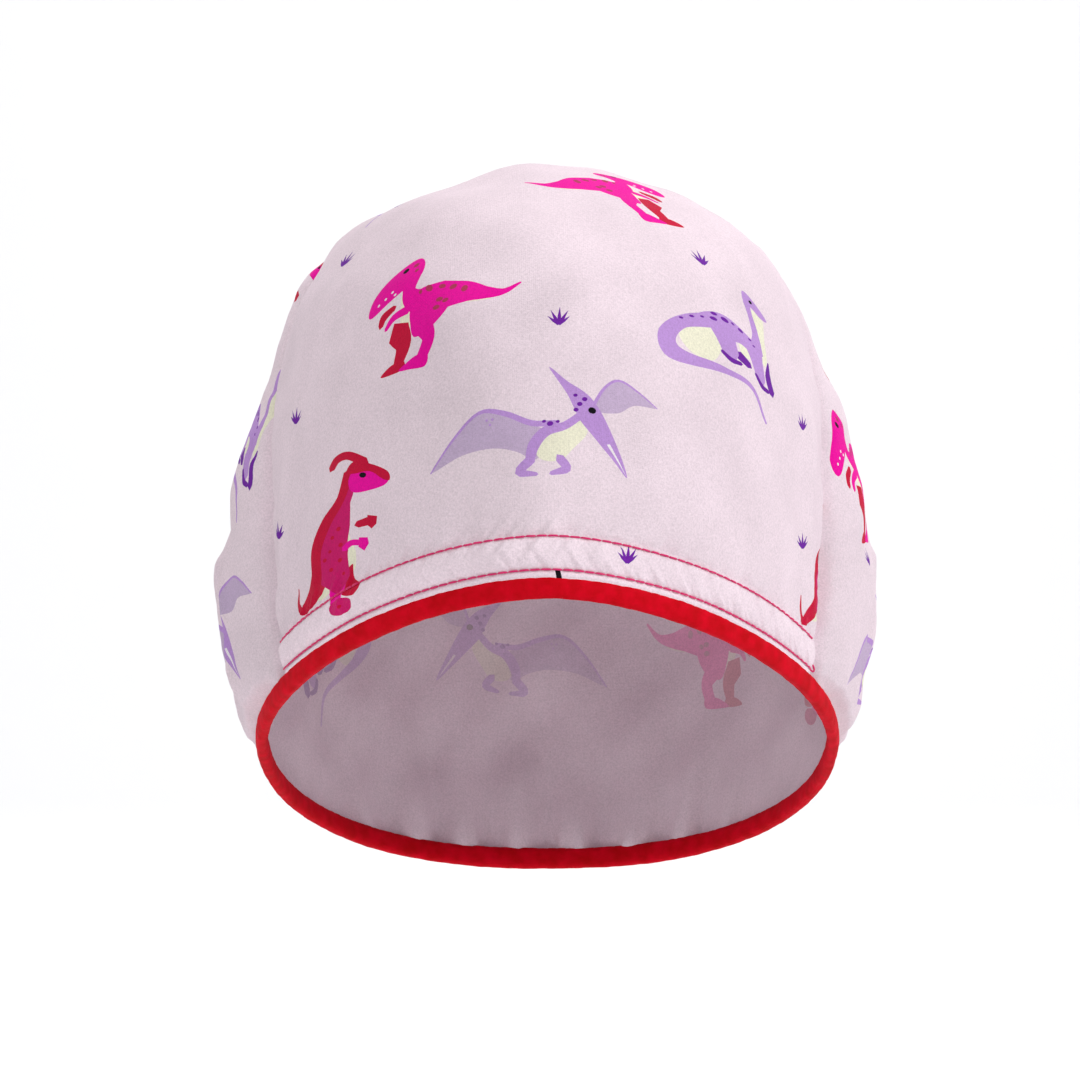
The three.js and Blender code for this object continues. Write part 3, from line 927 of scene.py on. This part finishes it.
# Soft upright folds where the fullness hangs beside each side seam, as in FOLDS.
BACK_FOLDS = [
    ((-78, 4), (-84, 50), 2.8, 2.0),
    ((-86, 0), (-91, 60), 3.2, -2.0),
    ((-96, -6), (-99, 46), 3.4, 1.9),
    ((80, -2), (86, 34), 2.8, -1.6),
    ((90, -6), (96, 48), 3.4, 1.9),
    ((108, -14), (112, 30), 4.0, 1.3),
    ((-120, -18), (-116, 34), 4.0, 1.3),
    ((104, 96), (134, 80), 6.0, -1.2),
    ((-112, 92), (-140, 70), 6.0, 1.3),
    ((160, 96), (200, 92), 8.0, -1.3),
]


def back_skin(direction):
    azimuth = bearings(direction)[0]
    close, full = skin_distance(direction, False), skin_distance(direction, True)
    held = smoothstep(above_hem(CENTRE + direction * full[:, None]), 0.6, 5.0)
    place = CENTRE + direction * (close + (full - close) * held)[:, None]
    above = above_hem(place)
    away = np.maximum(behind_seam(place) - PANEL_GAP / 2, 0)
    lift = gather_lift(azimuth, above) + seam_relief(place, away, 1.0)
    for fold in BACK_FOLDS:
        hanging = smoothstep(above, 1, 12) * (1 - np.exp(-away / 4))
        lift += fold_lift(azimuth, place[:, 2], *fold) * hanging
    along = np.radians(turn(180, azimuth)) * FOLD_RADIUS
    tucked = np.exp(-np.maximum(above - 2, 0) / 6) * smoothstep(above, 1, 4)
    lift += 0.9 * ripple(along / 1.9, 7) * tucked
    lift += 1.8 * slack(place, 4.0) * smoothstep(above, 6, 30) * (1 - np.exp(-away / 12))
    return place + direction * lift[:, None]


BACK_EDGE_HEIGHT = 0.3
BACK_ROWS = np.concatenate([np.arange(0.6, 12.0, 0.9), np.arange(12.8, CROWN_REACH, 1.35)])
back_edge, back_inner = panel_points(
    True, 1, BACK_EDGE_HEIGHT, BACK_ROWS, lambda along: 1.0 if along < 12 else 1.9
)
back_panel = cloth_mesh(
    "back_cloth", basis_towards(180, 10), back_edge, back_inner,
    printed_shapes(BACK_PRINT, True), back_skin, lambda place: np.full(len(place), COTTON),
)
back_panel.data.materials.append(cotton)
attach(back_panel, "root")
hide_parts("back_panel")

ALLOWANCE = {"width": 8.5, "steps": 300, "rows": 8, "behind": 0.2, "clear": 0.25}


def allowance_mesh(name):
    """The seam's raw edges, trimmed together and laid towards the back inside the cap."""
    steps, rows = ALLOWANCE["steps"], ALLOWANCE["rows"]
    normal = np.array([0, 1, -SEAM_LEAN]) / math.hypot(1, SEAM_LEAN)
    angle = np.linspace(-120, 120, 1200)
    clear = above_hem(seam_points(angle, ALLOWANCE["behind"], True)) > 4.0
    angle = np.linspace(angle[clear].min(), angle[clear].max(), steps)
    layers = ([], [])
    for row in range(-1, rows):
        share = max(row, 0) / (rows - 1)
        behind = ALLOWANCE["behind"] + ALLOWANCE["width"] * share
        face = back_skin(towards(seam_points(angle, behind, True)))
        inward = -towards(face)
        curl = 0.3 + 0.5 * ripple(angle / 2.1 + 2 * share, 2)
        depth = COTTON + ALLOWANCE["clear"] + np.maximum(curl, 0) * share
        frayed = 0.6 * share * ripple(angle / 1.3, 4)
        top = face + inward * depth[:, None] + normal * frayed[:, None]
        top -= normal * (0.9 if row < 0 else 0.0)
        layers[0].append(top)
        layers[1].append(top + inward * 2 * COTTON)
    width = rows + 1
    index = np.arange(width * steps).reshape(width, steps)
    total = width * steps
    upper = np.stack([index[:-1, :-1], index[:-1, 1:], index[1:, 1:], index[1:, :-1]], 2)
    upper = upper.reshape(-1, 4)
    ring = np.concatenate([index[0, :-1], index[:-1, -1], index[-1, :0:-1], index[:0:-1, 0]])
    rim = np.stack([np.roll(ring, -1), ring, ring + total, np.roll(ring, -1) + total], 1)
    faces = np.vstack([upper, upper[:, ::-1] + total, rim])
    mesh = bpy.data.meshes.new(name)
    points = np.vstack(layers[0] + layers[1]) * MM
    mesh.from_pydata(points.tolist(), [], faces.tolist())
    mesh.polygons.foreach_set("use_smooth", np.ones(len(faces), bool))
    tint = mesh.color_attributes.new("ink", "FLOAT_COLOR", "CORNER")
    tint.data.foreach_set("color", np.tile((*INKS["cloth"], 1.0), len(faces) * 4))
    weave = mesh.uv_layers.new(name="weave")
    weave.data.foreach_set("uv", points[faces.ravel()][:, [0, 2]].ravel())
    return laid_out(name, mesh)


seam_allowance = allowance_mesh("seam_allowance")
seam_allowance.data.materials.append(cotton)
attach(seam_allowance, "root")


# ---- Edge binding ----
# A red tape, folded round the raw edge of the cloth and sewn through close to its upper edge, so
# that it stands as a soft roll round the whole head opening.

BINDING = {
    "height": 6.2,
    "thickness": 3.4,
    "inset": 0.65,  # how far the roll's middle lies inside the cloth's face
    "corners": 28,
    "squareness": 0.75,
    "steps": 1150,
    "stitch": 2.75,
    "stitch_dent": 0.12,
    "crease": 0.06,
    "lump": 0.03,
}


def soften(value):
    """Rounds the roll's section out towards its corners."""
    return np.sign(value) * np.abs(value) ** BINDING["squareness"]


def binding_mesh():
    steps, corners_round = BINDING["steps"], BINDING["corners"]
    azimuth = np.arange(steps) * 360 / steps - 180
    hem = bearings(hem_directions(azimuth, arch(np.radians(azimuth) * FOLD_RADIUS), False))[1]
    place, across, up = tangents(azimuth, hem, False)
    out = np.cross(across, up)
    middle = place - out * BINDING["inset"]
    step = np.linalg.norm(np.roll(middle, -1, 0) - middle, axis=1)
    along = np.concatenate([[0], np.cumsum(step)[:-1]])
    length = step.sum()
    pitch = length / round(length / BINDING["stitch"])
    angle = np.arange(corners_round) * 2 * math.pi / corners_round
    away, rise = soften(np.cos(angle)) / 2, soften(np.sin(angle)) / 2
    roll = along[:, None] * 2 * math.pi / length
    swell_by = 1 + BINDING["lump"] * np.sin(9 * roll + 1) + 0.015 * np.sin(23 * roll)
    crease = BINDING["crease"] * np.sin(61 * roll + 2 * angle) * np.sin(17 * roll + 1)
    crease += 0.02 * np.sin(139 * roll - 2 * angle)
    sewn = np.cos(math.pi * along / pitch)[:, None] ** 8
    upper = np.exp(-(((angle - math.radians(62)) / 0.34) ** 2))
    upper += np.exp(-(((angle - math.radians(118)) / 0.34) ** 2))
    crease = crease - (0.08 + BINDING["stitch_dent"] * sewn) * upper
    out_by = away * BINDING["thickness"] * swell_by + np.cos(angle) * crease
    up_by = rise * BINDING["height"] * (1 + 0.02 * np.sin(13 * roll)) + np.sin(angle) * crease
    points = middle[:, None] + out[:, None] * out_by[:, :, None] + up[:, None] * up_by[:, :, None]
    index = np.arange(steps * corners_round).reshape(steps, corners_round)
    after, above = np.roll(index, -1, 0), np.roll(index, -1, 1)
    faces = np.stack([index, after, np.roll(after, -1, 1), above], 2).reshape(-1, 4)
    mesh = bpy.data.meshes.new("binding_tape")
    mesh.from_pydata((points.reshape(-1, 3) * MM).tolist(), [], faces.tolist())
    mesh.polygons.foreach_set("use_smooth", np.ones(len(faces), bool))
    tape = mesh.uv_layers.new(name="tape")
    u = np.repeat(along, corners_round).reshape(steps, corners_round)
    v = np.tile(angle, steps).reshape(steps, corners_round)
    corner = np.stack([u, v], 2).reshape(-1, 2)[faces].copy()
    corner[-corners_round:, 1:3, 0] += length
    corner[corners_round - 1::corners_round, 2:, 1] = 2 * math.pi
    tape.data.foreach_set("uv", (corner * MM).ravel())
    return laid_out("binding_tape", mesh)


def red_tape():
    """Red woven tape: fine cross ribs, small changes of tone and a faint pink sheen."""
    material = bpy.data.materials.new("red tape")
    material.use_nodes = True
    link = material.node_tree.links.new
    shader = material.node_tree.nodes["Principled BSDF"]
    set_sockets(shader, {
        "Roughness": 0.7,
        "Specular IOR Level": 0.06,
        "Sheen Weight": 0.02,
        "Sheen Tint": (1.0, 0.1, 0.4, 1.0),
    })
    surface = add_node(material, "ShaderNodeTexCoord")
    cloud = add_node(material, "ShaderNodeTexNoise", {"Scale": 260, "Detail": 5})
    link(surface.outputs["Object"], cloud.inputs["Vector"])
    dye = add_node(material, "ShaderNodeValToRGB")
    dye.color_ramp.elements[0].position = 0.32
    dye.color_ramp.elements[0].color = (0.50, 0.0003, 0.004, 1)
    dye.color_ramp.elements[1].position = 0.7
    dye.color_ramp.elements[1].color = (0.69, 0.0005, 0.014, 1)
    link(cloud.outputs["Fac"], dye.inputs["Fac"])
    link(dye.outputs["Color"], shader.inputs["Base Color"])
    tape = add_node(material, "ShaderNodeUVMap", uv_map="tape")
    rib = add_node(
        material, "ShaderNodeTexWave", {"Scale": 900, "Distortion": 1.2}, bands_direction="X",
    )
    link(tape.outputs["UV"], rib.inputs["Vector"])
    relief = add_node(material, "ShaderNodeBump", {"Strength": 0.25, "Distance": 0.00012})
    link(rib.outputs["Fac"], relief.inputs["Height"])
    link(relief.outputs["Normal"], shader.inputs["Normal"])
    return material


binding = binding_mesh()
binding.data.materials.append(red_tape())
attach(binding, "root")
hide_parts("edge_binding")


# ---- Topstitching ----
# Two rows of thin crimson thread run along the front panel's hem from seam to seam. Each stitch
# lies on the cloth and dives into it at both ends. The lower row's end is left loose at the right.

THREAD = 0.26  # radius
STITCH_STANDS = 0.46  # how far the middle of a stitch stands out from the cloth
STITCH_DIVES = 0.45


def stitch_row_path(row):
    """Points and outward ways along one row, close together, on the face of the front panel."""
    azimuth = np.linspace(-66, 66, 2400)
    rough = hem_directions(azimuth, STITCH_ROWS[row], False)
    along = np.radians(bearings(rough)[0]) * FOLD_RADIUS
    rise = np.zeros(len(azimuth))
    elevation = bearings(rough)[1]
    for _ in range(4):
        height = above_hem(placed(pointing(azimuth, elevation + rise), False))
        rise += np.degrees((row_height(along, row) - height) / 100)
    direction = pointing(azimuth, elevation + rise)
    clear = -behind_seam(placed(direction, False)) > 1.6
    return front_skin(direction[clear]), direction[clear]


def tube(path, radius, sides=7):
    """A closed round thread along a path, tapering at its ends, as (points, faces)."""
    ahead = unit(np.gradient(path, axis=0))
    first = unit(np.cross(ahead, (0.31, 0.2, 0.93)))
    second = np.cross(ahead, first)
    angle = np.arange(sides) * 2 * math.pi / sides
    count = len(path)
    ends = np.minimum(np.arange(count), np.arange(count)[::-1])
    size = radius * np.where(ends == 0, 0.45, 1.0)
    rings = path[:, None] + size[:, None, None] * (
        first[:, None] * np.cos(angle)[:, None] + second[:, None] * np.sin(angle)[:, None]
    )
    points = rings.reshape(-1, 3)
    faces = []
    for k in range(count - 1):
        for j in range(sides):
            a, b = k * sides + j, k * sides + (j + 1) % sides
            faces.append([a, b, b + sides, a + sides])
    faces.append(list(range(sides))[::-1])
    faces.append([(count - 1) * sides + j for j in range(sides)])
    return points, faces


def thread_mesh(name, tubes):
    points, faces, start = [], [], 0
    for some, rings in tubes:
        points.append(some)
        faces += [[start + k for k in face] for face in rings]
        start += len(some)
    mesh = bpy.data.meshes.new(name)
    mesh.from_pydata((np.vstack(points) * MM).tolist(), [], faces)
    mesh.polygons.foreach_set("use_smooth", np.ones(len(faces), bool))
    return laid_out(name, mesh)


stitches = []
for row in range(2):
    place, out = stitch_row_path(row)
    length = np.concatenate([[0], np.cumsum(np.linalg.norm(np.diff(place, axis=0), axis=1))])
    for number in range(int(length[-1] / STITCH)):
        middle = (number + 0.5) * STITCH
        span = np.linspace(-1, 1, 7)
        reach = middle + span * STITCH / 2
        lift = STITCH_STANDS - STITCH_DIVES * np.abs(span) ** 6
        point = np.stack([np.interp(reach, length, place[:, k]) for k in range(3)], 1)
        way = np.stack([np.interp(reach, length, out[:, k]) for k in range(3)], 1)
        stitches.append(tube(point + way * lift[:, None], THREAD))
    if row == 0:
        end, end_out = place[-1], out[-1]
topstitching = thread_mesh("topstitching", stitches)

# The lower row's thread end curls up in a small hook: along the hem, upwards, out from the cloth.
THREAD_END = np.array([
    (-1.5, 0.1, -0.1),
    (-0.2, 0.0, 0.3),
    (0.9, -0.2, 0.6),
    (1.5, 0.5, 0.8),
    (1.1, 1.4, 0.7),
    (0.4, 1.7, 0.5),
])
hem_way = np.array([math.cos(1.1), math.sin(1.1), -0.42])
hem_way /= np.linalg.norm(hem_way)
loose = end + THREAD_END @ np.stack([hem_way, np.array([0, 0, 1.0]), end_out])
share = np.linspace(0, 5, 26)
loose = np.stack([np.interp(share, np.arange(6), loose[:, k]) for k in range(3)], 1)
for _ in range(3):
    loose[1:-1] = (loose[:-2] + 2 * loose[1:-1] + loose[2:]) / 4
thread_end = thread_mesh("thread_end", [tube(loose, THREAD)])

thread_colour = bpy.data.materials.new("crimson thread")
thread_colour.use_nodes = True
thread_shader = thread_colour.node_tree.nodes["Principled BSDF"]
set_sockets(thread_shader, {"Roughness": 0.6, "Sheen Weight": 0.2})
fibre = add_node(thread_colour, "ShaderNodeTexNoise", {"Scale": 900})
fibre_tone = add_node(thread_colour, "ShaderNodeValToRGB")
fibre_tone.color_ramp.elements[0].color = (0.60, 0.002, 0.080, 1)
fibre_tone.color_ramp.elements[1].color = (0.80, 0.006, 0.190, 1)
thread_colour.node_tree.links.new(fibre.outputs["Fac"], fibre_tone.inputs["Fac"])
thread_colour.node_tree.links.new(fibre_tone.outputs["Color"], thread_shader.inputs["Base Color"])
for piece in (topstitching, thread_end):
    piece.data.materials.append(thread_colour)
    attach(piece, "root")


# ---- Studio and camera ----
# A plain pale floor and backdrop with large soft lights. The cap stands clear of the floor, as a
# head holds it, and the camera looks at its forehead from just above its own height.

FLOOR_LEVEL = -0.2
FLOOR_STEPS = 40
floor_mesh = bpy.data.meshes.new("floor")
floor_points, floor_faces = [], []
for k in range(FLOOR_STEPS):
    share = k / (FLOOR_STEPS - 1)
    bend = np.clip((share - 0.55) / 0.25, 0, 1) * math.pi / 2
    y = -4.0 + 7.0 * min(share, 0.55) / 0.55 + 1.2 * math.sin(bend)
    z = FLOOR_LEVEL + 1.2 * (1 - math.cos(bend)) + max(0.0, share - 0.8) / 0.2 * 5.0
    floor_points += [(-6.0, y, z), (6.0, y, z)]
for k in range(FLOOR_STEPS - 1):
    floor_faces.append((2 * k, 2 * k + 1, 2 * k + 3, 2 * k + 2))
floor_mesh.from_pydata(floor_points, [], floor_faces)
floor_mesh.polygons.foreach_set("use_smooth", np.ones(FLOOR_STEPS - 1, bool))
floor = laid_out("floor", floor_mesh)
paper = bpy.data.materials.new("pale paper")
paper.use_nodes = True
paper_shader = paper.node_tree.nodes["Principled BSDF"]
set_sockets(paper_shader, {"Base Color": (0.86, 0.86, 0.87, 1), "Roughness": 0.9})
floor_mesh.materials.append(paper)

world = bpy.data.worlds.new("studio")
world.use_nodes = True
sky = world.node_tree.nodes["Background"]
set_sockets(sky, {"Color": (1.0, 1.0, 1.0, 1), "Strength": 0.33})
bpy.context.scene.world = world

SUBJECT = (0.0, 0.0, 0.06)


def soft_light(name, place, size, power, target):
    data = bpy.data.lights.new(name, "AREA")
    data.shape = "SQUARE"
    data.size = size
    data.energy = power
    lamp = laid_out(name, data)
    lamp.location = place
    aim = Vector(target) - Vector(place)
    lamp.rotation_euler = aim.to_track_quat("-Z", "Y").to_euler()


soft_light("key", (2.1, -1.1, 1.2), 0.6, 34, SUBJECT)
soft_light("fill", (-1.7, -1.8, 0.9), 1.2, 15, SUBJECT)
soft_light("top", (0.1, -0.9, 2.0), 0.7, 5, SUBJECT)
soft_light("backdrop", (0.0, 1.3, 2.6), 2.2, 85, (0.0, 3.2, 0.0))

CAMERA_PLACE = (0.0, -1.2988, 0.0567)
CAMERA_AIM = (-0.002, 0.0, 0.0535)
camera_data = bpy.data.cameras.new("camera")
camera_data.lens = 160
camera_data.sensor_width = 36
camera = laid_out("camera", camera_data)
camera.location = CAMERA_PLACE
aim = Vector(CAMERA_AIM) - camera.location
camera.rotation_euler = aim.to_track_quat("-Z", "Y").to_euler()
bpy.context.scene.camera = camera
bpy.context.scene.view_settings.view_transform = "Standard"
